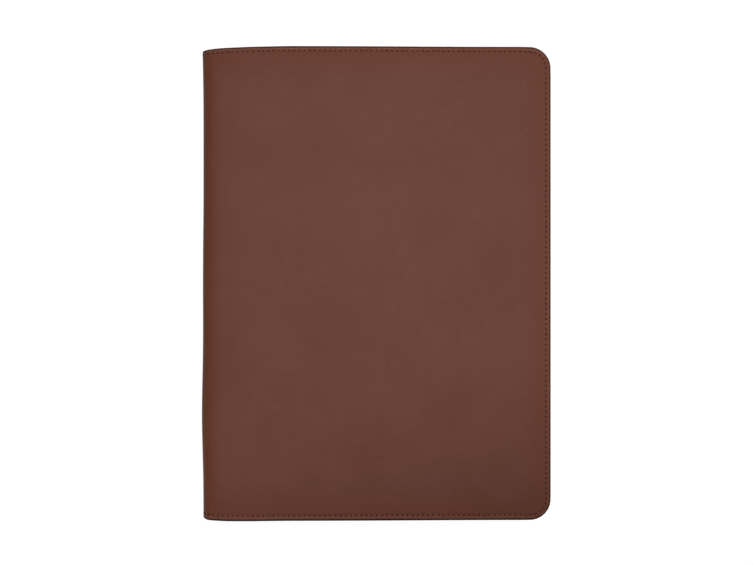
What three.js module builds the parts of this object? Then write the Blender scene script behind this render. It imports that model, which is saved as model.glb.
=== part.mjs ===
// A leather document case, lying closed on its back half: one sheet of leather folded round a soft
// spine, and a leather pocket sewn along the three outer edges of each half.
// Millimetres. X runs from the spine to the free edge, Y from the foot to the head, Z up from the
// table. The origin is on the table, under the middle of the case.
import * as THREE from "three";

// Outline, seen from above
const caseWidth = 236;
const caseHeight = 320;
const cornerRadius = 14;

// Leather
const coverThickness = 1.6;
const pocketThickness = 1.0;
const pocketClearance = 0.3;
const pocketSetback = 36; // from the outermost line of the spine to a pocket's open edge

// Section of the closed case, measured over the outside of the cover
const crestHeight = 14; // highest line of the front half
const crestRun = 45; // from the outermost line of the spine to that crest
const freeEdgeHeight = 10; // top of the front half at its free edge
const spineHeight = 6; // height of the outermost line of the spine
const spineLift = 14; // run in which the back half rises from the table to the spine

// How full each bend is: the reach of its curve's handles, as shares of its rise and run
const lowerBend = { rise: 0.75, run: 0.65 };
const upperBend = { rise: 0.81, run: 0.82 };
const frontFall = 0.4; // reach of the handles of the front half's slow fall, as a share of its run

// The leather's ends draw in towards the middle where it goes round the spine
const headDraw = 2.8;
const footDraw = 1.5;
const drawRun = 62; // along the leather, from the outermost line of the spine
const headDrawShares = [
  { place: 0, depth: 1 },
  { place: 0.035, depth: 0.97 },
  { place: 0.09, depth: 0.8 },
  { place: 0.16, depth: 0.65 },
  { place: 0.23, depth: 0.52 },
  { place: 0.36, depth: 0.38 },
  { place: 0.58, depth: 0.2 },
  { place: 0.8, depth: 0.09 },
  { place: 1, depth: 0 },
];
const footDrawShares = [
  { place: 0, depth: 1 },
  { place: 0.035, depth: 0.95 },
  { place: 0.09, depth: 0.4 },
  { place: 0.16, depth: 0.2 },
  { place: 0.36, depth: 0 },
  { place: 1, depth: 0.2 },
];

// The soft spine isn't straight: each row is one section, from the foot to the head of the case,
// and how far the spine stands back there from its outermost point
const spineWander = 1.1;
const wanderReach = 30; // along the leather, from the outermost line of the spine
const sections = [
  { height: 0, inset: 1 },
  { height: 0.03, inset: 0.95 },
  { height: 0.09, inset: 0.8 },
  { height: 0.14, inset: 0.42 },
  { height: 0.21, inset: 0 },
  { height: 0.27, inset: 0.15 },
  { height: 0.34, inset: 0.56 },
  { height: 0.4, inset: 0.72 },
  { height: 0.5, inset: 0.64 },
  { height: 0.59, inset: 0.76 },
  { height: 0.68, inset: 0.98 },
  { height: 0.9, inset: 0.92 },
  { height: 1, inset: 0.45 },
];

// Facets
const cornerSteps = 8;
const flatStep = 40;
const bendStep = 1.8;

const spineX = -caseWidth / 2;
const freeX = caseWidth / 2;

// The outside of the cover in the XZ plane, from the back half's free edge round to the front's
function outsideOfSection() {
  const rise = crestHeight - spineHeight;
  const fallRun = freeX - spineX - crestRun;
  const liftStart = new THREE.Vector2(spineX + spineLift, 0);
  const spine = new THREE.Vector2(spineX, spineHeight);
  const crest = new THREE.Vector2(spineX + crestRun, crestHeight);
  const path = new THREE.CurvePath();
  path.add(new THREE.LineCurve(new THREE.Vector2(freeX, 0), liftStart));
  path.add(
    new THREE.CubicBezierCurve(
      liftStart,
      new THREE.Vector2(liftStart.x - lowerBend.run * spineLift, 0),
      new THREE.Vector2(spineX, spineHeight * (1 - lowerBend.rise)),
      spine,
    ),
  );
  path.add(
    new THREE.CubicBezierCurve(
      spine,
      new THREE.Vector2(spineX, spineHeight + upperBend.rise * rise),
      new THREE.Vector2(crest.x - upperBend.run * crestRun, crestHeight),
      crest,
    ),
  );
  path.add(
    new THREE.CubicBezierCurve(
      crest,
      new THREE.Vector2(crest.x + frontFall * fallRun, crestHeight),
      new THREE.Vector2(freeX - frontFall * fallRun, freeEdgeHeight),
      new THREE.Vector2(freeX, freeEdgeHeight),
    ),
  );
  return path;
}

const section = outsideOfSection();
const [backLength, liftLength, shoulderLength] = section.curves.map((c) => c.getLength());
const sheetLength = section.getLength();
const spineAt = backLength + liftLength;
const crestAt = spineAt + shoulderLength;

// Straight-line reading of a table of rows, between its first and last places
function readTable(rows, column, place, value) {
  const next = rows.findIndex((row) => row[column] >= place);
  if (next === 0) return rows[0][value];
  if (next < 0) return rows[rows.length - 1][value];
  const low = rows[next - 1];
  const high = rows[next];
  const share = (place - low[column]) / (high[column] - low[column]);
  return THREE.MathUtils.lerp(low[value], high[value], share);
}

// How far the leather reaches from the middle to its head or foot, at a distance along the section
function reachAt(along, draw, drawShares) {
  const fromSpine = Math.abs(along - spineAt) / drawRun;
  const drawn = draw * readTable(drawShares, "place", fromSpine, "depth");
  const fromFreeEdge = Math.min(along, sheetLength - along);
  const intoCorner = Math.max(0, cornerRadius - fromFreeEdge);
  const cornerRise = Math.sqrt(Math.max(0, cornerRadius ** 2 - intoCorner ** 2));
  return caseHeight / 2 - drawn - (cornerRadius - cornerRise);
}

// A point of the leather: a distance along the section, a section of the table, a depth under the outside
function leatherPoint(along, row, depth) {
  const share = along / sheetLength;
  const outside = section.getPoint(share);
  const tangent = section.getTangent(share);
  const foot = -reachAt(along, footDraw, footDrawShares);
  const head = reachAt(along, headDraw, headDrawShares);
  const nearSpine = 1 - THREE.MathUtils.smoothstep(Math.abs(along - spineAt), 0, wanderReach);
  return new THREE.Vector3(
    outside.x + tangent.y * depth + spineWander * row.inset * nearSpine,
    THREE.MathUtils.lerp(foot, head, row.height),
    outside.y - tangent.x * depth,
  );
}

// Places along the section where the leather has an edge of a facet, close together in corners and bends
function stations(from, to) {
  const places = [];
  for (let step = 0; step <= cornerSteps; step++) {
    const intoCorner = cornerRadius * (1 - Math.cos((step / cornerSteps) * (Math.PI / 2)));
    places.push(intoCorner, sheetLength - intoCorner);
  }
  const stretches = [
    { start: cornerRadius, end: backLength, step: flatStep },
    { start: backLength, end: spineAt + spineLift, step: bendStep },
    { start: spineAt + spineLift, end: crestAt, step: bendStep * 4 },
    { start: crestAt, end: sheetLength - cornerRadius, step: flatStep },
  ];
  for (const { start, end, step } of stretches) {
    const count = Math.max(1, Math.ceil((end - start) / step));
    for (let i = 0; i < count; i++) places.push(start + ((end - start) * i) / count);
  }
  const room = bendStep / 4;
  const inside = places.filter((place) => place > from + room && place < to - room);
  const ordered = [from, ...inside.sort((a, b) => a - b), to];
  return ordered.filter((place, i) => i === 0 || place - ordered[i - 1] > 1e-3);
}

// A closed wall of leather between two distances along the section and two depths under the outside
function leatherWall(from, to, topDepth, thickness) {
  const places = stations(from, to);
  const columns = places.length;
  const rows = sections.length;
  const points = [];
  for (const depth of [topDepth, topDepth + thickness])
    for (const place of places) for (const row of sections) points.push(leatherPoint(place, row, depth));
  const at = (side, column, row) => (side * columns + column) * rows + row;
  const index = [];
  const quad = (a, b, c, d) => index.push(a, c, b, a, d, c); // its corners go clockwise, seen from outside
  for (let i = 0; i < columns - 1; i++)
    for (let j = 0; j < rows - 1; j++) {
      quad(at(0, i, j), at(0, i, j + 1), at(0, i + 1, j + 1), at(0, i + 1, j));
      quad(at(1, i, j), at(1, i + 1, j), at(1, i + 1, j + 1), at(1, i, j + 1));
    }
  for (let i = 0; i < columns - 1; i++) {
    quad(at(0, i, 0), at(0, i + 1, 0), at(1, i + 1, 0), at(1, i, 0));
    quad(at(0, i, rows - 1), at(1, i, rows - 1), at(1, i + 1, rows - 1), at(0, i + 1, rows - 1));
  }
  for (let j = 0; j < rows - 1; j++) {
    quad(at(0, 0, j), at(1, 0, j), at(1, 0, j + 1), at(0, 0, j + 1));
    quad(at(0, columns - 1, j), at(0, columns - 1, j + 1), at(1, columns - 1, j + 1), at(1, columns - 1, j));
  }
  const geometry = new THREE.BufferGeometry();
  geometry.setFromPoints(points);
  geometry.setIndex(index);
  geometry.computeVertexNormals();
  return geometry;
}

const outsideLeather = new THREE.MeshStandardMaterial({ color: 0x6b4439, roughness: 0.5, metalness: 0 });
const pocketLeather = new THREE.MeshStandardMaterial({ color: 0x5e3a2f, roughness: 0.62, metalness: 0 });

function leatherMesh(name, geometry, material) {
  const mesh = new THREE.Mesh(geometry, material);
  mesh.name = name;
  return mesh;
}

const pocketDepth = coverThickness + pocketClearance;
const backPocketEnd = spineAt - pocketSetback;
const frontPocketStart = spineAt + pocketSetback;

const documentCase = new THREE.Group();
documentCase.add(
  leatherMesh("cover", leatherWall(0, sheetLength, 0, coverThickness), outsideLeather),
  leatherMesh("back_pocket", leatherWall(0, backPocketEnd, pocketDepth, pocketThickness), pocketLeather),
  leatherMesh(
    "front_pocket",
    leatherWall(frontPocketStart, sheetLength, pocketDepth, pocketThickness),
    pocketLeather,
  ),
);

export default documentCase;
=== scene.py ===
"""A brown leather document case, lying closed on its back half.

Each piece of leather is cut flat, given its wall and its pressed border, and then folded over the
section of the closed case. The stitches are laid along the seam of the flat leather and folded with
it. Lengths are metres. In the flat pattern X is the distance along the section, Y the distance across
it, and Z the height over the outside of the cover.
"""

import math
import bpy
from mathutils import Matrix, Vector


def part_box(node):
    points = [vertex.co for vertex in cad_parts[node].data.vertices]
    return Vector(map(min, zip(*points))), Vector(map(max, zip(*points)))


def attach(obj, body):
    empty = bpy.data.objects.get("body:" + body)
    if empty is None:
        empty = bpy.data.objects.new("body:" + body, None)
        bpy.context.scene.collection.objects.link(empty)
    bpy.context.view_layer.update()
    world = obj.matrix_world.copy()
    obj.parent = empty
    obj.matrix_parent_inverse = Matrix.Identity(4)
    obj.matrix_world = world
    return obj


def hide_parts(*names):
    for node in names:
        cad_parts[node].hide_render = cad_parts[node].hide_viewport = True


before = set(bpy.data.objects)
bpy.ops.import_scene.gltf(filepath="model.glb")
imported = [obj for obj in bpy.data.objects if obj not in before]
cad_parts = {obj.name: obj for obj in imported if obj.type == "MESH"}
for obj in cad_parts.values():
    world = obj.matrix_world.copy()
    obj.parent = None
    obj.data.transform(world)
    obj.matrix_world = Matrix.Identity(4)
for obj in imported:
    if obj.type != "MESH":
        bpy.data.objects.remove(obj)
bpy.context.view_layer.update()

from types import SimpleNamespace

import bmesh
import bpy
from bpy.props import FloatProperty, FloatVectorProperty, PointerProperty
from bpy.types import Operator, Panel, PropertyGroup
from mathutils import Vector, geometry, noise

bl_info = {
    "name": "Leather document case",
    "version": (1, 0, 0),
    "blender": (4, 5, 0),
    "location": "View3D > Sidebar > Document case",
    "description": "Makes a closed leather document case, cut flat, sewn and folded round its spine",
    "category": "Add Mesh",
}

COVER_LOW, COVER_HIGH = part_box("cover")
POCKET_LOW, POCKET_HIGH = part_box("back_pocket")

MM = 0.001
BODY = "root"

# How deep a pocket's leather lies under the outside of the cover, and how thick it is
POCKET_DEPTH = POCKET_LOW.z
POCKET_THICKNESS = POCKET_HIGH.z - POCKET_LOW.z

# How full each bend of the section is: the reach of its handles, as shares of its rise and its run
LOWER_BEND = {"rise": 0.75, "run": 0.65}
UPPER_BEND = {"rise": 0.81, "run": 0.82}
FRONT_FALL = 0.4

# How far the leather's ends draw in beside the spine, as shares of the draw and of its run
HEAD_DRAW_SHARES = (
    {"place": 0, "depth": 1},
    {"place": 0.035, "depth": 0.97},
    {"place": 0.09, "depth": 0.8},
    {"place": 0.16, "depth": 0.65},
    {"place": 0.23, "depth": 0.52},
    {"place": 0.36, "depth": 0.38},
    {"place": 0.58, "depth": 0.2},
    {"place": 0.8, "depth": 0.09},
    {"place": 1, "depth": 0},
)
FOOT_DRAW_SHARES = (
    {"place": 0, "depth": 1},
    {"place": 0.035, "depth": 0.95},
    {"place": 0.09, "depth": 0.4},
    {"place": 0.16, "depth": 0.2},
    {"place": 0.36, "depth": 0},
    {"place": 1, "depth": 0.2},
)

# How far the spine stands back from its outermost point, from the foot to the head of the case
SPINE_WANDER_SHARES = (
    {"place": 0, "depth": 1},
    {"place": 0.03, "depth": 0.95},
    {"place": 0.09, "depth": 0.8},
    {"place": 0.14, "depth": 0.42},
    {"place": 0.21, "depth": 0},
    {"place": 0.27, "depth": 0.15},
    {"place": 0.34, "depth": 0.56},
    {"place": 0.4, "depth": 0.72},
    {"place": 0.5, "depth": 0.64},
    {"place": 0.59, "depth": 0.76},
    {"place": 0.68, "depth": 0.98},
    {"place": 0.9, "depth": 0.92},
    {"place": 1, "depth": 0.45},
)

# How deep the leather lies under its flat level, by the gap to its cut edge: first the rounding of
# the painted edge, then the pillow and the groove that the seam presses into it
EDGE_ROUNDING = (
    {"place": 0, "depth": 0.7 * MM},
    {"place": 0.1 * MM, "depth": 0.42 * MM},
    {"place": 0.28 * MM, "depth": 0.2 * MM},
    {"place": 0.55 * MM, "depth": 0.05 * MM},
    {"place": 0.85 * MM, "depth": 0},
)
SEAM_PRESSING = (
    {"place": 0.85 * MM, "depth": 0},
    {"place": 1.7 * MM, "depth": -0.03 * MM},
    {"place": 2.5 * MM, "depth": 0},
    {"place": 2.9 * MM, "depth": 0.07 * MM},
    {"place": 3.2 * MM, "depth": 0.11 * MM},
    {"place": 3.5 * MM, "depth": 0.07 * MM},
    {"place": 3.9 * MM, "depth": 0.01 * MM},
    {"place": 4.8 * MM, "depth": -0.02 * MM},
    {"place": 6.2 * MM, "depth": 0},
)

# Nicks in the front half: how far they are from its free edge and from its middle, and their size
NICKS = (
    {"from_edge": 15.8 * MM, "across": 104.0 * MM, "radius": 0.48 * MM},
    {"from_edge": 21.6 * MM, "across": 79.7 * MM, "radius": 0.25 * MM},
    {"from_edge": 37.4 * MM, "across": -51.8 * MM, "radius": 0.28 * MM},
    {"from_edge": 69.1 * MM, "across": -143.6 * MM, "radius": 0.31 * MM},
)
NICK_CORE = 0.4  # share of the radius that is worn right through
NICK_RAGGEDNESS = 0.3 * MM

# Widths of the clouds and the grain in the leather, and the depth of its relief
CLOUD_WIDTH = 34 * MM
SPECKLE_WIDTH = 0.9 * MM
GRAIN_WIDTH = 0.7 * MM
PORE_WIDTH = 0.25 * MM
CREASE_WIDTH = 3.5 * MM
RELIEF_DEPTH = 0.14 * MM

# What the clouds, the speckle and the paint add to the leather's tone and its roughness, and what the
# grain, the pores, the creases and the needle holes add to its relief
TONE = {"middle": 0.55, "clouds": 4.5, "speckle": 0.2}
ROUGHNESS = {"clouds": 0.2, "speckle": 0.08, "paint": -0.06}
RELIEF = {"grain": 0.45, "pores": 0.15, "creases": 0.4, "hole": -0.7}

# Where a tone of the leather is gone and where it is full. For the border's painted shade and for the
# paint these are gaps to the cut edge in millimetres, for the band's painted highlight millimetres outside
# the seam, for the spine's painted light distances from it, and for a needle hole's painted shade shares of
# its width
BORDER_SHADE = {"none": 24, "full": 4}
BORDER_SHADE_STRENGTH = 0.8
PAINTED_EDGE = {"none": 1.2, "full": 0.9}
PAINT_RAGGEDNESS = 0.12
PAINT_MATTNESS = 0.88
BAND_HIGHLIGHT = {"none": 0.2, "full": 1.0}
SPINE_LIGHT = {"none": 17 * MM, "full": 5 * MM}
HOLE = {"none": 0.6, "full": 0.32}

# A pocket's leather: its darker clouds as a share of its colour, the room that is left between its
# sewn border and the cover, and the gaps to the cut edge where it is brought up to the cover
POCKET_CLOUDS = 0.85
SEWN_ROOM = 0.04 * MM
SEWN_BORDER = {"none": 6 * MM, "full": 3.3 * MM}

# How much of the edge rounding the hidden edges get: the cover's inside and a pocket's outside
COVER_INNER_ROUNDING = 0.2
POCKET_OUTER_ROUNDING = 0.15

# A stitch, as shares of the thread's thickness: its height, how far its ends dip into their holes, how
# far it slants, and how far its middle stands out of the leather
STITCH = {"height": 0.85, "dip": 0.6, "slant": 0.12, "proud": 0.2}

# The thread: how often its strands turn round it and along a stitch, their depth, the width of the
# clouds in its dye, and its darker tone as a share of its colour
STRANDS_ROUND = 2
STRANDS_ALONG = 5
STRAND_DEPTH = 0.05 * MM
DYE_WIDTH = 6 * MM
DEEP_THREAD = 0.6
# The thread's tone: its middle, the painted shade in the grooves between its strands, and the clouds in its
# dye
THREAD_TONE = {"middle": 0.45, "strands": 0.35, "dye": 0.5}

# Lengths of the slow waves along and across the leather, and their place in the noise
WAVE_LENGTHS = (70 * MM, 95 * MM)
WAVE_PLACE = 3.1

# Distances from a corner over which it is eased, and from the free edge over which the foot's border
# grows to its full width
CORNER_EASE = {"none": 16 * MM, "full": 2 * MM}
FOOT_BORDER = {"none": 5 * MM, "full": 25 * MM}

# Lamps of the studio: one beam from the right, one from the head, which fades at the foot, a faint one
# on the spine's foot, and a dim soft box overhead that the leather mirrors
LAMPS = (
    {"name": "side_beam", "place": (1.25, 0.5, 0.85), "aim": (-0.02, 0.03, 0), "size": (0.5, 0.4),
     "watts": 0.55, "spread": 12, "mirrored": False},
    {"name": "head_beam", "place": (0, 1.35, 0.75), "aim": (0, 0.09, 0), "size": (0.9, 0.26),
     "watts": 0.54, "spread": 5, "mirrored": False},
    {"name": "low_beam", "place": (-0.85, -0.65, 0.75), "aim": (-0.11, -0.15, 0), "size": (0.1, 0.1),
     "watts": 0.0065, "spread": 5, "mirrored": False},
    {"name": "soft_box", "place": (0, 0.14, 1.3), "aim": (0, 0.14, 0), "size": (1, 0.2),
     "watts": 1, "spread": 180, "mirrored": True},
)

# The case lies on its lower stitches, which stand a little proud of the leather
FLOOR_LEVEL = -0.34 * MM

# The board under the case: its size, its two tones and the width of the clouds between them
FLOOR_SIZE = 40
BOARD_TONES = ((0.08, 0.08, 0.08), (0.1, 0.1, 0.1))
BOARD_CLOUDS = 0.4

# The light all round keeps its strength up to a low height over the horizon, and has faded to the
# fill light at a high one
AIR = {"low": 0.1, "high": 0.35, "strength": 0.6}

# Steps of the meshes and the paths, how far a path runs on past the leather, and the angle in degrees
# up to which faces are shaded as one
CORNER_STEPS = 10
ROW_STEP = 7.5 * MM
FLAT_STEP = 7 * MM
BEND_STEP = 1.3 * MM
PATH_STEPS = 64
LENGTH_STEPS = 400
RUN_OUT = 10 * MM
SMOOTH_ANGLE = 50

# Differences and lengths under these count as none
TINY = 1e-6
NO_LENGTH = 1e-7


def size(name, default, description):
    """A length in metres that a user may change."""
    return FloatProperty(
        name=name, default=default, description=description, min=0, unit="LENGTH", precision=4
    )


def tint(name, default, description):
    """A colour that a user may change."""
    return FloatVectorProperty(
        name=name, default=default, description=description, subtype="COLOR", min=0, max=1
    )


class CaseSizes(PropertyGroup):
    """Sizes of the case"""

    width: size("Width", COVER_HIGH.x - COVER_LOW.x, "From the outermost line of the spine to the free edge")
    height: size("Height", COVER_HIGH.y - COVER_LOW.y, "From the foot to the head")
    corner_radius: size("Corner radius", 13.5 * MM, "Rounding of the outer corners")
    crest_height: size("Crest height", COVER_HIGH.z - COVER_LOW.z, "Highest line of the front half")
    crest_run: size("Crest run", 45 * MM, "From the outermost line of the spine to the crest")
    free_edge_height: size("Free edge height", 10 * MM, "Top of the front half at its free edge")
    spine_height: size("Spine height", 6 * MM, "Height of the outermost line of the spine")
    spine_lift: size("Spine lift", 14 * MM, "Run in which the back half rises into the spine")
    cover_thickness: size("Cover thickness", 1.6 * MM, "Thickness of the cover's leather")
    pocket_thickness: size("Pocket thickness", POCKET_THICKNESS, "Thickness of a pocket's leather")
    pocket_setback: size("Pocket setback", 36 * MM, "Along the leather, from the spine to an open edge")
    head_draw: size("Head draw", 2.8 * MM, "How far the head draws in beside the spine")
    foot_draw: size("Foot draw", 1.5 * MM, "How far the foot draws in beside the spine")
    draw_run: size("Draw run", 62 * MM, "Along the leather, how far from the spine its ends draw in")
    spine_wander: size("Spine wander", 1.1 * MM, "How far the soft spine wanders from a straight line")
    wander_reach: size("Wander reach", 30 * MM, "Along the leather, how far from the spine it wanders")
    head_ease: size("Head ease", 0.45 * MM, "How much rounder the corners are at the head")
    foot_ease: size("Foot ease", 0.3 * MM, "How much squarer the corners are at the foot")
    foot_margin: size("Foot margin", 0.45 * MM, "How much wider the border outside the seam is at the foot")
    wave: size("Wave", 0.25 * MM, "Height of the slow waves in the front half")


class CaseStitching(PropertyGroup):
    """Sizes of the seam and its stitches"""

    inset: size("Seam inset", 3.2 * MM, "From the cut edge to the seam")
    pitch: size("Stitch pitch", 3.47 * MM, "From one needle hole to the next")
    length: size("Stitch length", 2.75 * MM, "Length of a stitch that shows")
    thickness: size("Thread thickness", 0.7 * MM, "Width of the thread")
    hole: size("Needle hole", 1.3 * MM, "Width of the dent round a needle hole")


class CaseColours(PropertyGroup):
    """Colours of the leather, its edges and its thread"""

    leather: tint("Leather", (0.136, 0.0497, 0.034), "Outside of the cover")
    leather_deep: tint("Deep leather", (0.120, 0.0417, 0.0262), "Darker clouds in the leather")
    # Painted shade: the cover's leather is drawn darker towards its sewn edges
    border: tint("Leather at the borders", (0.130, 0.0392, 0.0224), "Deeper tone towards the sewn edges")
    # Painted light on the spine's bend: a redder, less grey tone that stands in for how the bend is lit
    spine: tint("Leather at the spine", (0.146, 0.0437, 0.0197), "Warmer tone of the stretched leather")
    # Painted highlight: the raised band between the seam and the painted edge is drawn lighter
    band_highlight: tint("Seam border", (0.144, 0.053, 0.032), "Leather between the seam and the painted edge")
    worn: tint("Worn leather", (0.26, 0.145, 0.11), "Nicks in the surface")
    pocket: tint("Pocket leather", (0.112, 0.046, 0.033), "Leather of the pockets and of the cover's inside")
    edge_paint: tint("Edge paint", (0.046, 0.0165, 0.0115), "Paint on the cut edges")
    # Painted shade in the needle holes: a dark colour, laid on without gloss
    hole: tint("Needle holes", (0.094, 0.024, 0.012), "Dents round the needle holes")
    thread: tint("Thread", (0.155, 0.052, 0.034), "Sewing thread")


class CaseStage(PropertyGroup):
    """Camera, lights and floor"""

    camera_height: size("Camera height", 1.065, "Height of the camera over the floor")
    camera_x: size("Camera X", 0.33 * MM, "Place of the camera across the case")
    camera_y: size("Camera Y", 0.79 * MM, "Place of the camera along the case")
    lens: FloatProperty(name="Lens", default=74.7, description="Focal length in millimetres")
    brightness: FloatProperty(name="Brightness", default=1, description="Factor on the power of all lamps")
    fill: FloatProperty(name="Fill light", default=0.13, description="Strength of the light all round")
    floor_glow: FloatProperty(name="Floor glow", default=0.97, description="How bright the floor looks")
    floor_bounce: FloatProperty(name="Floor bounce", default=0.42, description="Light that the floor gives")


class Shade:
    """A value in a material's node tree. Python's operators on it add Math nodes."""

    def __init__(self, finish, socket):
        self.finish = finish
        self.socket = socket

    def maths(self, operation, *values):
        return self.finish.node("ShaderNodeMath", {"operation": operation}, dict(enumerate(values)))

    def __add__(self, other):
        return self.maths("ADD", self, other)

    def __sub__(self, other):
        return self.maths("SUBTRACT", self, other)

    def __rsub__(self, other):
        return self.maths("SUBTRACT", other, self)

    def __mul__(self, other):
        return self.maths("MULTIPLY", self, other)

    def __pow__(self, other):
        return self.maths("POWER", self, other)

    __radd__ = __add__
    __rmul__ = __mul__

    def __abs__(self):
        return self.maths("ABSOLUTE", self)

    def fraction(self):
        return self.maths("FRACT", self)

    def wave(self):
        return self.maths("SINE", self)

    def smooth_step(self, none, full):
        """0 at none and past it, 1 at full and past it, with a smooth change between them."""
        settings = {"interpolation_type": "SMOOTHSTEP"}
        inputs = {"Value": self, "From Min": none, "From Max": full}
        return self.finish.node("ShaderNodeMapRange", settings, inputs)


class Finish:
    """A material under construction: its node tree and its shader."""

    def __init__(self, name, **constants):
        self.material = bpy.data.materials.new(name)
        self.material.use_nodes = True
        self.tree = self.material.node_tree
        self.shader = self.tree.nodes["Principled BSDF"]
        for socket, value in constants.items():
            self.shader.inputs[socket.replace("_", " ")].default_value = value

    def node(self, kind, settings=None, inputs=None, output=0):
        """Adds a node, sets its settings and its sockets, and gives one of its outputs."""
        node = self.tree.nodes.new(kind)
        for name, value in (settings or {}).items():
            setattr(node, name, value)
        for name, value in (inputs or {}).items():
            self.connect(node.inputs[name], value)
        return Shade(self, node.outputs[output])

    def connect(self, socket, value):
        if isinstance(value, Shade):
            self.tree.links.new(value.socket, socket)
        else:
            socket.default_value = value

    def flat_pattern(self):
        """The place in the flat leather, in metres."""
        return self.node("ShaderNodeAttribute", {"attribute_name": "flat"}, output="Vector")

    def seam_map(self):
        """The number of stitches along the seam, and the gap to the cut edge in millimetres."""
        uv = self.node("ShaderNodeUVMap", {"uv_map": "seam"})
        return self.part(uv, "X"), self.part(uv, "Y")

    def part(self, vector, axis):
        """The part of a vector along an axis."""
        return self.node("ShaderNodeSeparateXYZ", inputs={0: vector}, output=axis)

    def clouds(self, place, width, detail=2.0, roughness=0.5):
        """Soft noise from 0 to 1 with blobs of about a width in metres."""
        inputs = {"Vector": place, "Scale": 0.5 / width, "Detail": detail, "Roughness": roughness}
        return self.node("ShaderNodeTexNoise", inputs=inputs)

    def mix(self, share, first, second):
        """A colour between two colours."""
        settings = {"data_type": "RGBA"}
        colours = [value if isinstance(value, Shade) else (*value, 1) for value in (first, second)]
        return self.node("ShaderNodeMix", settings, {0: share, 6: colours[0], 7: colours[1]}, output=2)

    def bump(self, height, depth):
        """A normal for a relief whose height of 1 stands for a depth in metres."""
        return self.node("ShaderNodeBump", inputs={"Height": height, "Distance": depth, "Strength": 1.0})

    def matt_over(self, share, colour, normal):
        """Lays a colour without gloss over a share of the surface, and gives the material."""
        nodes, links = self.tree.nodes, self.tree.links
        matt = nodes.new("ShaderNodeBsdfPrincipled")
        matt.inputs["Specular IOR Level"].default_value = 0
        matt.inputs["Roughness"].default_value = 0.9
        blend = nodes.new("ShaderNodeMixShader")
        self.connect(matt.inputs["Base Color"], colour)
        self.connect(matt.inputs["Normal"], normal)
        self.connect(blend.inputs["Fac"], share)
        links.new(self.shader.outputs["BSDF"], blend.inputs[1])
        links.new(matt.outputs["BSDF"], blend.inputs[2])
        links.new(blend.outputs["Shader"], nodes["Material Output"].inputs["Surface"])
        return self.material

    def paint(self, **channels):
        for socket, value in channels.items():
            self.connect(self.shader.inputs[socket.replace("_", " ")], value)
        return self.material


def nick_masks(finish, place, pores, places):
    """A mask for each nick in the leather, ragged by its pores."""
    for row in NICKS:
        inputs = {0: place, 1: (places.end - row["from_edge"], row["across"], 0)}
        off_nick = finish.node("ShaderNodeVectorMath", {"operation": "DISTANCE"}, inputs, "Value")
        ragged = off_nick + NICK_RAGGEDNESS * (pores - 0.5)
        yield ragged.smooth_step(row["radius"], NICK_CORE * row["radius"])


def leather_finish(name, base, deep, roughness, colours, stitching, places=None):
    """Smooth leather: clouded colour, fine grain, needle holes along the seam with painted shade in them,
    and painted edges.

    places is given for the cover, which also has painted shade at its borders, painted light at its
    spine, nicks, and a painted highlight on the band outside its seam.
    """
    finish = Finish(name, IOR=1.45)
    place = finish.flat_pattern()
    stitches, gap = finish.seam_map()

    clouds = finish.clouds(place, CLOUD_WIDTH, detail=6.0, roughness=0.85) - 0.5
    speckle = finish.clouds(place, SPECKLE_WIDTH, detail=1.0) - 0.5
    cells = {"Vector": place, "Scale": 1 / GRAIN_WIDTH}
    grain = finish.node("ShaderNodeTexVoronoi", {"feature": "SMOOTH_F1"}, cells)
    pores = finish.clouds(place, PORE_WIDTH, detail=2.0)
    creases = finish.clouds(place, CREASE_WIDTH, detail=4.0)
    relief = RELIEF["grain"] * grain + RELIEF["pores"] * pores + RELIEF["creases"] * creases

    tone = TONE["middle"] + TONE["clouds"] * clouds + TONE["speckle"] * speckle
    colour = finish.mix(tone.smooth_step(0, 1), deep, base)
    outside_seam = stitching.inset / MM - gap
    if places:
        # Painted shade: the leather is drawn darker towards its sewn edges
        border = BORDER_SHADE_STRENGTH * gap.smooth_step(**BORDER_SHADE)
        # Painted light on the spine's bend
        spine_light = abs(finish.part(place, "X") - places.spine).smooth_step(**SPINE_LIGHT)
        colour = finish.mix(border, colour, colours.border)
        colour = finish.mix(spine_light, colour, colours.spine)
        for nick in nick_masks(finish, place, pores, places):
            colour = finish.mix(nick, colour, colours.worn)
        # Painted highlight on the raised band outside the seam
        colour = finish.mix(outside_seam.smooth_step(**BAND_HIGHLIGHT), colour, colours.band_highlight)

    # The needle holes: a dent in the relief, and painted shade in the colour
    along = ((stitches + 0.5).fraction() - 0.5) * (stitching.pitch / MM)
    from_hole = (along**2 + outside_seam**2) ** 0.5
    hole_width = stitching.hole / MM
    hole = from_hole.smooth_step(HOLE["none"] * hole_width, HOLE["full"] * hole_width)

    painted = (gap + PAINT_RAGGEDNESS * (creases - 0.5)).smooth_step(**PAINTED_EDGE)
    colour = finish.mix(painted, colour, colours.edge_paint)

    rough = roughness + ROUGHNESS["clouds"] * clouds + ROUGHNESS["speckle"] * speckle
    rough += ROUGHNESS["paint"] * painted
    normal = finish.bump(relief * (1 - painted) * (1 - hole) + RELIEF["hole"] * hole, RELIEF_DEPTH)
    finish.paint(Base_Color=colour, Roughness=rough, Normal=normal)
    # The matt colour is painted shade in the needle holes and the real paint on the cut edges
    matt = finish.mix(painted, colours.hole, colours.edge_paint)
    return finish.matt_over(hole + PAINT_MATTNESS * painted, matt, normal)


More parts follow.
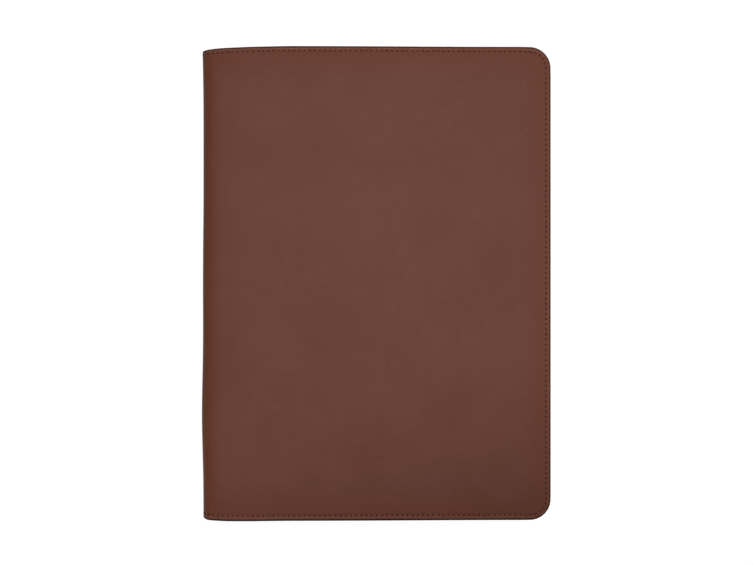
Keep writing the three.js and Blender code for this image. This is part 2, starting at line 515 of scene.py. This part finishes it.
def thread_finish(name, colours):
    """Waxed thread of twisted strands with painted shade between them, read from the stitch's own map: U
    round it and V along it.
    """
    finish = Finish(name, Roughness=0.55, IOR=1.45)
    uv = finish.node("ShaderNodeUVMap", {"uv_map": "UVMap"})
    turns = finish.part(uv, "X") * STRANDS_ROUND + finish.part(uv, "Y") * STRANDS_ALONG
    strands = (turns * math.tau).wave() * 0.5 + 0.5
    dye = finish.clouds(finish.flat_pattern(), DYE_WIDTH) - 0.5
    # Painted shade: the thread is darker in the grooves between its strands, by the same wave as its relief
    tone = THREAD_TONE["middle"] + THREAD_TONE["strands"] * strands + THREAD_TONE["dye"] * dye
    deep = tuple(DEEP_THREAD * channel for channel in colours.thread)
    colour = finish.mix(tone, deep, colours.thread)
    return finish.paint(Base_Color=colour, Normal=finish.bump(strands, STRAND_DEPTH))


def floor_finish(name, glow, bounce):
    """Matt white board, bright enough to stay white in the picture, with a dimmer light on the case."""
    finish = Finish(name, Roughness=0.9, Emission_Strength=1.0)
    soft = finish.clouds(finish.node("ShaderNodeTexCoord", output="Object"), BOARD_CLOUDS)
    white = finish.mix(soft, *BOARD_TONES)
    seen = finish.node("ShaderNodeLightPath", output="Is Camera Ray")
    return finish.paint(Base_Color=white, Emission_Color=finish.mix(seen, (bounce,) * 3, (glow,) * 3))


def read_table(rows, place):
    """Smooth reading of a table of places and depths, flat before the first row and after the last."""
    if place <= rows[0]["place"]:
        return rows[0]["depth"]
    if place >= rows[-1]["place"]:
        return rows[-1]["depth"]
    high = next(i for i, row in enumerate(rows) if row["place"] > place)
    near = [rows[max(0, min(i, len(rows) - 1))] for i in range(high - 2, high + 2)]
    before, low, top, after = ((row["place"], row["depth"]) for row in near)
    run = top[0] - low[0]
    share = (place - low[0]) / run
    slope_low = (top[1] - before[1]) / (top[0] - before[0]) * run
    slope_top = (after[1] - low[1]) / (after[0] - low[0]) * run
    return (
        (2 * share**3 - 3 * share**2 + 1) * low[1]
        + (share**3 - 2 * share**2 + share) * slope_low
        + (3 * share**2 - 2 * share**3) * top[1]
        + (share**3 - share**2) * slope_top
    )


def smooth_step(value, none, full):
    """0 at none and past it, 1 at full and past it, with a smooth change between them."""
    share = max(0, min(1, (value - none) / (full - none)))
    return share * share * (3 - 2 * share)


def straight(start, end):
    """A straight line as a Bezier curve: two ends with two handles between them."""
    return start, start.lerp(end, 1 / 3), start.lerp(end, 2 / 3), end


def curve_length(curve):
    points = geometry.interpolate_bezier(*curve, LENGTH_STEPS)
    return sum((b - a).length for a, b in zip(points, points[1:]))


def closed_section(sizes):
    """The outside of the closed cover in the XZ plane, from the back's free edge to the front's."""
    spine_x = -sizes.width / 2
    free_x = sizes.width / 2
    rise = sizes.crest_height - sizes.spine_height
    back_edge = Vector((free_x, 0))
    lift = Vector((spine_x + sizes.spine_lift, 0))
    spine = Vector((spine_x, sizes.spine_height))
    crest = Vector((spine_x + sizes.crest_run, sizes.crest_height))
    front_edge = Vector((free_x, sizes.free_edge_height))
    fall_reach = Vector((FRONT_FALL * (free_x - crest.x), 0))
    lower_handle = lift - Vector((LOWER_BEND["run"] * sizes.spine_lift, 0))
    under_spine = spine - Vector((0, LOWER_BEND["rise"] * sizes.spine_height))
    over_spine = spine + Vector((0, UPPER_BEND["rise"] * rise))
    upper_handle = crest - Vector((UPPER_BEND["run"] * sizes.crest_run, 0))
    return (
        straight(back_edge, lift),
        (lift, lower_handle, under_spine, spine),
        (spine, over_spine, upper_handle, crest),
        (crest, crest + fall_reach, front_edge - fall_reach, front_edge),
    )


def flat_places(sizes):
    """Distances along the section where its shape changes, and where the pockets end."""
    lift, spine, crest, end = (curve_length(curve) for curve in closed_section(sizes))
    places = SimpleNamespace(lift=lift, spine=lift + spine, crest=lift + spine + crest)
    places.end = places.crest + end
    places.back_pocket_end = places.spine - sizes.pocket_setback
    places.front_pocket_start = places.spine + sizes.pocket_setback
    return places


def rounded_outline(places, sizes, inset):
    """Curves clockwise round the flat cover at an inset, from the middle of the back's free edge."""
    radius = sizes.corner_radius - inset
    left = inset
    right = places.end - inset
    side = sizes.height / 2 - inset
    reach = Vector((places.end / 2, 0))
    kappa = 4 / 3 * math.tan(math.pi / 8) * radius
    corners = []
    for x, y in ((left, side), (right, side), (right, -side), (left, -side)):
        corner = Vector((x, y))
        inward_x = Vector((math.copysign(1, reach.x - x), 0))
        inward_y = Vector((0, math.copysign(1, -y)))
        corners.append((corner, inward_x, inward_y))
    arcs = []
    for number, (corner, inward_x, inward_y) in enumerate(corners):
        first, last = (inward_y, inward_x) if number % 2 == 0 else (inward_x, inward_y)
        start = corner + first * radius
        end = corner + last * radius
        arcs.append((start, start - first * kappa, end - last * kappa, end))
    middle = Vector((left, 0))
    curves = [straight(middle, arcs[0][0])]
    for arc, following in zip(arcs, arcs[1:]):
        curves += [arc, straight(arc[3], following[0])]
    return [*curves, arcs[3], straight(arcs[3][3], middle)]


def draw_path(curves, turned=0.0):
    """A flat path object through curves that follow each other, turned about X."""
    clear_selection()
    bpy.ops.curve.primitive_bezier_curve_add(rotation=(turned, 0, 0))
    path = bpy.context.object
    path.data.dimensions = "2D"
    path.data.resolution_u = PATH_STEPS
    path.data.use_path = True
    knots = [(curves[0][0], curves[0][0], curves[0][1])]
    knots += [(before[2], curve[0], curve[1]) for before, curve in zip(curves, curves[1:])]
    knots += [(curves[-1][2], curves[-1][3], curves[-1][3])]
    points = path.data.splines[0].bezier_points
    points.add(len(knots) - len(points))
    for point, (before, place, after) in zip(points, knots):
        point.handle_left_type = "FREE"
        point.handle_right_type = "FREE"
        point.co = (*place, 0)
        point.handle_left = (*before, 0)
        point.handle_right = (*after, 0)
    return path


def seam_reading(x, y, places, sizes, inset):
    """The distance along the seam at a point of the flat cover, and the point's gap to the cut edge.

    The distance runs as rounded_outline does.
    """
    radius = sizes.corner_radius
    reach_x = places.end / 2 - radius
    reach_y = sizes.height / 2 - radius
    x -= places.end / 2
    y = -y
    near_x = max(-reach_x, min(reach_x, x))
    near_y = max(-reach_y, min(reach_y, y))
    out = Vector((x - near_x, y - near_y))
    gap = radius - out.length
    if out.length < NO_LENGTH:
        room_x = reach_x - abs(x)
        room_y = reach_y - abs(y)
        gap = radius + min(room_x, room_y)
        out = Vector((math.copysign(1, x), 0)) if room_x < room_y else Vector((0, math.copysign(1, y)))
    turn = (math.atan2(out.y, out.x) - math.pi) % math.tau
    quarter = min(3, int((turn + TINY) / (math.pi / 2)))
    on_side = abs(turn - quarter * math.pi / 2) < TINY
    travelled = (reach_y, reach_y + 2 * reach_x, 3 * reach_y + 2 * reach_x, 3 * reach_y + 4 * reach_x)
    if on_side:
        side_travel = (
            -near_y if near_y <= 0 else 4 * reach_x + 4 * reach_y - near_y,
            reach_y + near_x + reach_x,
            reach_y + 2 * reach_x + near_y + reach_y,
            3 * reach_y + 2 * reach_x + reach_x - near_x,
        )[quarter]
        wrapped = math.tau if quarter == 0 and near_y > 0 else turn
        return side_travel + (radius - inset) * wrapped, gap
    return travelled[quarter] + (radius - inset) * turn, gap


def seam_length(places, sizes, inset):
    reach_x = places.end / 2 - sizes.corner_radius
    reach_y = sizes.height / 2 - sizes.corner_radius
    return 4 * (reach_x + reach_y) + math.tau * (sizes.corner_radius - inset)


def clear_selection():
    if bpy.context.object and bpy.context.object.mode != "OBJECT":
        bpy.ops.object.mode_set(mode="OBJECT")
    bpy.ops.object.select_all(action="DESELECT")


def select_parts(piece, kind, test):
    """Selects the vertices, edges or faces of a piece in edit mode that pass a test."""
    bpy.ops.mesh.select_mode(type=kind)
    bpy.ops.mesh.select_all(action="DESELECT")
    mesh = bmesh.from_edit_mesh(piece.data)
    for part in {"VERT": mesh.verts, "EDGE": mesh.edges, "FACE": mesh.faces}[kind]:
        if test(part):
            part.select_set(True)
    bmesh.update_edit_mesh(piece.data)


def apply_modifier(piece, kind, **settings):
    """Adds a modifier with its settings and applies it."""
    bpy.context.view_layer.objects.active = piece
    modifier = piece.modifiers.new(kind.title(), kind)
    for name, value in settings.items():
        setattr(modifier, name, value)
    bpy.ops.object.modifier_apply(modifier=modifier.name)


def cut_leather(name, start, end, corners, stretches, sizes):
    """A flat sheet of leather from one place along the section to another, with rings round its border.

    corners are the ends that are rounded, and stretches the places between which it gets a mesh step.
    """
    clear_selection()
    bpy.ops.mesh.primitive_plane_add(size=1, location=((start + end) / 2, 0, 0))
    sheet = bpy.context.object
    sheet.name = name
    sheet.data.name = name
    sheet.scale = (end - start, sizes.height, 1)
    bpy.ops.object.transform_apply(location=True, rotation=True, scale=True)
    bpy.ops.object.mode_set(mode="EDIT")
    select_parts(sheet, "VERT", lambda vert: any(abs(vert.co.x - corner) < MM for corner in corners))
    bpy.ops.mesh.bevel(affect="VERTICES", offset=sizes.corner_radius, segments=CORNER_STEPS, profile=0.5)
    for low, _, _ in stretches[1:]:
        bpy.ops.mesh.select_all(action="SELECT")
        bpy.ops.mesh.bisect(plane_co=(low, 0, 0), plane_no=(1, 0, 0))

    def lies_along(edge):
        return abs(edge.verts[0].co.y - edge.verts[1].co.y) < TINY and edge.calc_length() > FLAT_STEP

    def lies_across(edge):
        same_place = abs(edge.verts[0].co.x - edge.verts[1].co.x) < TINY
        return same_place and edge.calc_length() > sizes.height / 2

    for low, high, step in stretches:
        def in_stretch(edge):
            middle = (edge.verts[0].co.x + edge.verts[1].co.x) / 2
            return lies_along(edge) and low < middle < high

        select_parts(sheet, "EDGE", in_stretch)
        bpy.ops.mesh.subdivide(number_cuts=math.ceil((high - low) / step) - 1)
    select_parts(sheet, "EDGE", lies_across)
    bpy.ops.mesh.subdivide(number_cuts=math.ceil(sizes.height / ROW_STEP) - 1)
    bpy.ops.mesh.select_mode(type="FACE")
    bpy.ops.mesh.select_all(action="SELECT")
    rings = sorted({row["place"] for row in (*EDGE_ROUNDING, *SEAM_PRESSING)})
    for outer, inner in zip(rings, rings[1:]):
        bpy.ops.mesh.inset(thickness=inner - outer)
    bpy.ops.object.mode_set(mode="OBJECT")
    return sheet


def map_seam(piece, places, sizes, stitching):
    """A UV map of the stitches along the seam and of the gap to the cut edge in millimetres."""
    total = seam_length(places, sizes, stitching.inset)
    pitch = total / round(total / stitching.pitch)
    readings = [seam_reading(v.co.x, v.co.y, places, sizes, stitching.inset) for v in piece.data.vertices]
    layer = piece.data.uv_layers.new(name="seam")
    for face in piece.data.polygons:
        first = readings[face.vertices[0]][0]
        for corner in face.loop_indices:
            along, gap = readings[piece.data.loops[corner].vertex_index]
            along += total * round((first - along) / total)
            layer.data[corner].uv = (along / pitch, gap / MM)


def record_flat_place(piece):
    """Keeps each point's place in the flat leather, for the fold and the materials."""
    flat = piece.data.attributes.new("flat", "FLOAT_VECTOR", "POINT")
    for vertex, place in zip(piece.data.vertices, flat.data):
        place.vector = vertex.co


def reach_in(along, draw, shares, places, sizes):
    """How far the leather's head or foot draws in at a distance along the section."""
    return draw * read_table(shares, abs(along - places.spine) / sizes.draw_run)


def slow_wave(along, across, places, sizes):
    """Height of the slow waves in the front half of the leather, over its flat level."""
    weight = smooth_step(along, places.spine, places.spine + sizes.wander_reach)
    place = Vector((along / WAVE_LENGTHS[0], across / WAVE_LENGTHS[1], WAVE_PLACE))
    return sizes.wave * weight * noise.noise(place)


def ease_corner(along, across, places, sizes):
    """How far a point is drawn in at its nearest corner, along each side.

    The corners at the head are a little rounder than an arc, and those at the foot a little squarer.
    """
    middle = sizes.corner_radius * (1 - math.sqrt(0.5))
    off_edge = min(along, places.end - along) - middle
    off_end = sizes.height / 2 - abs(across) - middle
    near = smooth_step(math.hypot(off_edge, off_end), **CORNER_EASE)
    return near * math.sqrt(0.5) * (sizes.head_ease if across > 0 else -sizes.foot_ease)


def fold(piece, places, sizes, inset):
    """Folds a flat piece over the closed section, with the waves, drawn ends and wander of soft leather."""
    record_flat_place(piece)
    half = sizes.height / 2
    for vertex in piece.data.vertices:
        along, across, depth = vertex.co
        foot = reach_in(along, sizes.foot_draw, FOOT_DRAW_SHARES, places, sizes) - half
        head = half - reach_in(along, sizes.head_draw, HEAD_DRAW_SHARES, places, sizes)
        share = (across + half) / sizes.height
        height = depth + slow_wave(along, across, places, sizes)
        margin = sizes.foot_margin * smooth_step(min(along, places.end - along), **FOOT_BORDER)
        foot += margin
        border = 1 - smooth_step(across + half, 0, inset)
        ease = ease_corner(along, across, places, sizes)
        across = foot + (head - foot) * share - margin * border - math.copysign(ease, across)
        vertex.co = (along + math.copysign(ease, places.end / 2 - along), across, height)

    curves = closed_section(sizes)
    before = curves[0][0] + Vector((RUN_OUT, 0))
    after = curves[-1][3] + Vector((RUN_OUT, 0))
    path = draw_path([straight(before, curves[0][0]), *curves, straight(curves[-1][3], after)], math.pi / 2)
    clear_selection()
    piece.select_set(True)
    bpy.context.view_layer.objects.active = piece
    piece.location.x = RUN_OUT
    apply_modifier(piece, "CURVE", object=path, deform_axis="POS_X")
    bpy.ops.object.transform_apply(location=True, rotation=True, scale=True)
    bpy.data.curves.remove(path.data)

    for vertex, flat in zip(piece.data.vertices, piece.data.attributes["flat"].data):
        along, across, _ = flat.vector
        near = 1 - smooth_step(abs(along - places.spine), 0, sizes.wander_reach)
        share = (across + half) / sizes.height
        vertex.co.x += sizes.spine_wander * read_table(SPINE_WANDER_SHARES, share) * near


def press_cover(cover, places, sizes, stitching):
    """Rounds the cover's outer edge and presses its seam, and takes the sharpness off its inner edge."""
    for vertex in cover.data.vertices:
        gap = seam_reading(vertex.co.x, vertex.co.y, places, sizes, stitching.inset)[1]
        if vertex.co.z > -sizes.cover_thickness / 2:
            vertex.co.z -= read_table(EDGE_ROUNDING, gap) + read_table(SEAM_PRESSING, gap)
        else:
            vertex.co.z += COVER_INNER_ROUNDING * read_table(EDGE_ROUNDING, gap)


def press_pocket(pocket, open_edge, places, sizes, stitching):
    """Brings a pocket's sewn border up to the cover, rounds its inner edge and presses its seam."""
    top = max(vertex.co.z for vertex in pocket.data.vertices)
    lifted = -sizes.cover_thickness - SEWN_ROOM - top
    for vertex in pocket.data.vertices:
        seam_gap = seam_reading(vertex.co.x, vertex.co.y, places, sizes, stitching.inset)[1]
        gap = min(seam_gap, abs(vertex.co.x - open_edge))
        inside = vertex.co.z < top - sizes.pocket_thickness / 2
        vertex.co.z += lifted * smooth_step(seam_gap, **SEWN_BORDER)
        if inside:
            vertex.co.z += read_table(EDGE_ROUNDING, gap) + read_table(SEAM_PRESSING, seam_gap)
        else:
            vertex.co.z -= POCKET_OUTER_ROUNDING * read_table(EDGE_ROUNDING, gap)


def smooth_faces(piece):
    clear_selection()
    piece.select_set(True)
    bpy.context.view_layer.objects.active = piece
    bpy.ops.object.shade_smooth_by_angle(angle=math.radians(SMOOTH_ANGLE))


def sew_seam(name, depth_at, side, places, sizes, stitching):
    """All the stitches of the seam on one side of the leather. depth_at gives the leather's level there."""
    total = seam_length(places, sizes, stitching.inset)
    count = round(total / stitching.pitch)
    pitch = total / count
    clear_selection()
    bpy.ops.mesh.primitive_uv_sphere_add(
        segments=8, ring_count=6, radius=stitching.thickness / 2, rotation=(0, math.pi / 2, 0)
    )
    seam = bpy.context.object
    seam.name = name
    seam.data.name = name
    bpy.ops.object.transform_apply(location=False, rotation=True, scale=False)
    half = stitching.length / 2
    bpy.ops.object.mode_set(mode="EDIT")
    bpy.ops.mesh.select_all(action="SELECT")
    bpy.ops.transform.resize(value=(stitching.length / stitching.thickness, 1, STITCH["height"]))
    bpy.ops.object.mode_set(mode="OBJECT")
    for vertex in seam.data.vertices:
        lean = vertex.co.x / half
        vertex.co.z = side * (vertex.co.z - STITCH["dip"] * stitching.thickness * lean**4)
        vertex.co.y += STITCH["slant"] * stitching.thickness * lean
        vertex.co.x += pitch / 2
    apply_modifier(
        seam,
        "ARRAY",
        fit_type="FIXED_COUNT",
        count=count,
        use_relative_offset=False,
        use_constant_offset=True,
        constant_offset_displace=(pitch, 0, 0),
    )
    path = draw_path(rounded_outline(places, sizes, stitching.inset))
    clear_selection()
    seam.select_set(True)
    apply_modifier(seam, "CURVE", object=path, deform_axis="POS_X")
    bpy.data.curves.remove(path.data)
    for vertex in seam.data.vertices:
        vertex.co.z += depth_at(vertex.co.x)
    return seam


def dress(piece, material, slot, *nodes):
    """Gives a piece its material and its body, and hides the nodes that it stands for. slot is not used."""
    piece.data.materials.clear()
    piece.data.materials.append(material)
    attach(piece, BODY)
    if nodes:
        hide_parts(*nodes)


def add_lamp(row, brightness):
    """A rectangular lamp that faces the place it is aimed at. Its spread is in degrees."""
    bpy.ops.object.light_add(type="AREA", location=row["place"])
    lamp = bpy.context.object
    lamp.name = row["name"]
    lamp.rotation_euler = (Vector(row["aim"]) - lamp.location).to_track_quat("-Z", "Y").to_euler()
    lamp.data.shape = "RECTANGLE"
    lamp.data.size, lamp.data.size_y = row["size"]
    lamp.data.spread = math.radians(row["spread"])
    lamp.data.energy = row["watts"] * brightness
    lamp.visible_glossy = row["mirrored"]


def studio_air(fill):
    """Light all round: pale at the horizon and dim overhead. The camera sees a white backdrop instead."""
    world = bpy.data.worlds.new("Studio")
    world.use_nodes = True
    nodes, links = world.node_tree.nodes, world.node_tree.links
    direction = nodes.new("ShaderNodeTexCoord")
    upward = nodes.new("ShaderNodeSeparateXYZ")
    fade = nodes.new("ShaderNodeMapRange")
    fade.interpolation_type = "SMOOTHSTEP"
    levels = {"From Min": AIR["low"], "From Max": AIR["high"], "To Min": AIR["strength"], "To Max": fill}
    for socket, value in levels.items():
        fade.inputs[socket].default_value = value
    links.new(direction.outputs["Generated"], upward.inputs[0])
    links.new(upward.outputs["Z"], fade.inputs["Value"])
    seen = nodes.new("ShaderNodeLightPath")
    strength = nodes.new("ShaderNodeMix")
    strength.inputs["B"].default_value = 1
    links.new(seen.outputs["Is Camera Ray"], strength.inputs["Factor"])
    links.new(fade.outputs["Result"], strength.inputs["A"])
    links.new(strength.outputs["Result"], nodes["Background"].inputs["Strength"])
    nodes["Background"].inputs["Color"].default_value = (1, 1, 1, 1)
    return world


def case_settings():
    """The user's sizes, stitching and colours, and the places along the section."""
    scene = bpy.context.scene
    return scene.case_sizes, scene.case_stitching, scene.case_colours, flat_places(scene.case_sizes)


class CASE_OT_stage(Operator):
    """Makes the floor, the lights and the camera"""

    bl_idname = "document_case.stage"
    bl_label = "Stage"

    def execute(self, context):
        stage = context.scene.case_stage
        clear_selection()
        bpy.ops.mesh.primitive_plane_add(size=FLOOR_SIZE, location=(0, 0, FLOOR_LEVEL))
        floor = context.object
        floor.name = "floor"
        bpy.ops.object.transform_apply(location=True, rotation=False, scale=False)
        floor.data.materials.append(floor_finish("White board", stage.floor_glow, stage.floor_bounce))

        for lamp in LAMPS:
            add_lamp(lamp, stage.brightness)

        context.scene.world = studio_air(stage.fill)

        place = (stage.camera_x, stage.camera_y, stage.camera_height)
        bpy.ops.object.camera_add(location=place, rotation=(0, 0, 0))
        camera = context.object
        camera.name = "camera"
        camera.data.lens = stage.lens
        camera.data.sensor_width = 36
        camera.data.clip_start = 0.01
        context.scene.camera = camera
        context.scene.view_settings.view_transform = "Standard"
        return {"FINISHED"}


class CASE_OT_cover(Operator):
    """Makes the cover: one sheet of leather, cut flat, pressed at its border and folded"""

    bl_idname = "document_case.cover"
    bl_label = "Cover"

    def execute(self, context):
        sizes, stitching, colours, places = case_settings()
        corner = sizes.corner_radius
        stretches = (
            (corner, places.lift, FLAT_STEP),
            (places.lift, places.crest, BEND_STEP),
            (places.crest, places.end - corner, FLAT_STEP),
        )
        cover = cut_leather("cover_leather", 0, places.end, (0, places.end), stretches, sizes)
        apply_modifier(cover, "SOLIDIFY", thickness=sizes.cover_thickness, offset=-1)
        map_seam(cover, places, sizes, stitching)
        press_cover(cover, places, sizes, stitching)
        fold(cover, places, sizes, stitching.inset)
        smooth_faces(cover)
        finish = leather_finish(
            "Brown leather",
            base=colours.leather,
            deep=colours.leather_deep,
            roughness=0.42,
            colours=colours,
            stitching=stitching,
            places=places,
        )
        dress(cover, finish, "cover_leather", "cover")
        return {"FINISHED"}


class CASE_OT_pockets(Operator):
    """Makes the pocket of each half: thinner leather, sewn along three edges and open towards the spine"""

    bl_idname = "document_case.pockets"
    bl_label = "Pockets"

    def execute(self, context):
        sizes, stitching, colours, places = case_settings()
        finish = leather_finish(
            "Pocket leather",
            base=colours.pocket,
            deep=tuple(POCKET_CLOUDS * channel for channel in colours.pocket),
            roughness=0.55,
            colours=colours,
            stitching=stitching,
        )
        corner = sizes.corner_radius
        for name, start, end, open_edge in (
            ("back_pocket", 0, places.back_pocket_end, places.back_pocket_end),
            ("front_pocket", places.front_pocket_start, places.end, places.front_pocket_start),
        ):
            rounded = start if open_edge == end else end
            stretch = (max(start, corner), min(end, places.end - corner), FLAT_STEP)
            pocket = cut_leather(f"{name}_leather", start, end, (rounded,), (stretch,), sizes)
            for vertex in pocket.data.vertices:
                vertex.co.z = -POCKET_DEPTH
            apply_modifier(pocket, "SOLIDIFY", thickness=sizes.pocket_thickness, offset=-1)
            map_seam(pocket, places, sizes, stitching)
            press_pocket(pocket, open_edge, places, sizes, stitching)
            fold(pocket, places, sizes, stitching.inset)
            smooth_faces(pocket)
            dress(pocket, finish, "pocket_leather", name)
        return {"FINISHED"}


class CASE_OT_stitching(Operator):
    """Sews the seam: the stitches that show outside and those that show inside"""

    bl_idname = "document_case.stitching"
    bl_label = "Stitching"

    def execute(self, context):
        sizes, stitching, colours, places = case_settings()
        finish = thread_finish("Waxed thread", colours)
        groove = read_table(SEAM_PRESSING, stitching.inset)
        proud = STITCH["proud"] * stitching.thickness

        def outside(along):
            return proud - groove

        def inside(along):
            past_open_edge = max(places.back_pocket_end - along, along - places.front_pocket_start)
            in_pocket = smooth_step(past_open_edge, -stitching.length / 2, stitching.length / 2)
            return -sizes.cover_thickness - in_pocket * (sizes.pocket_thickness - groove) - proud

        for name, depth_at, side in (("outer_stitches", outside, 1), ("inner_stitches", inside, -1)):
            seam = sew_seam(name, depth_at, side, places, sizes, stitching)
            fold(seam, places, sizes, stitching.inset)
            smooth_faces(seam)
            dress(seam, finish, "thread")
        return {"FINISHED"}


class CASE_OT_declare(Operator):
    """Reads the sizes and the places along the section, and does nothing more"""

    bl_idname = "document_case.declare"
    bl_label = "Flat sizes"

    def execute(self, context):
        sizes, _, _, places = case_settings()
        return {"FINISHED"}


class CASE_PT_sidebar(Panel):
    """Settings and buttons of the document case"""

    bl_label = "Leather document case"
    bl_space_type = "VIEW_3D"
    bl_region_type = "UI"
    bl_category = "Document case"

    def draw(self, context):
        layout = self.layout
        for group in SETTINGS:
            box = layout.box()
            for name in SETTINGS[group].__annotations__:
                box.prop(getattr(context.scene, group), name)
        for operator in OPERATORS:
            layout.operator(operator.bl_idname)


SETTINGS = {
    "case_sizes": CaseSizes,
    "case_stitching": CaseStitching,
    "case_colours": CaseColours,
    "case_stage": CaseStage,
}
OPERATORS = (CASE_OT_stage, CASE_OT_cover, CASE_OT_pockets, CASE_OT_stitching, CASE_OT_declare)
CLASSES = (*SETTINGS.values(), *OPERATORS, CASE_PT_sidebar)


def register():
    for kind in CLASSES:
        bpy.utils.register_class(kind)
    for name, kind in SETTINGS.items():
        setattr(bpy.types.Scene, name, PointerProperty(type=kind))


def unregister():
    for name in SETTINGS:
        delattr(bpy.types.Scene, name)
    for kind in reversed(CLASSES):
        bpy.utils.unregister_class(kind)


def main():
    register()
    bpy.ops.document_case.stage()
    bpy.ops.document_case.cover()
    bpy.ops.document_case.pockets()
    bpy.ops.document_case.stitching()
    bpy.ops.document_case.declare()


if __name__ == "__main__":
    main()
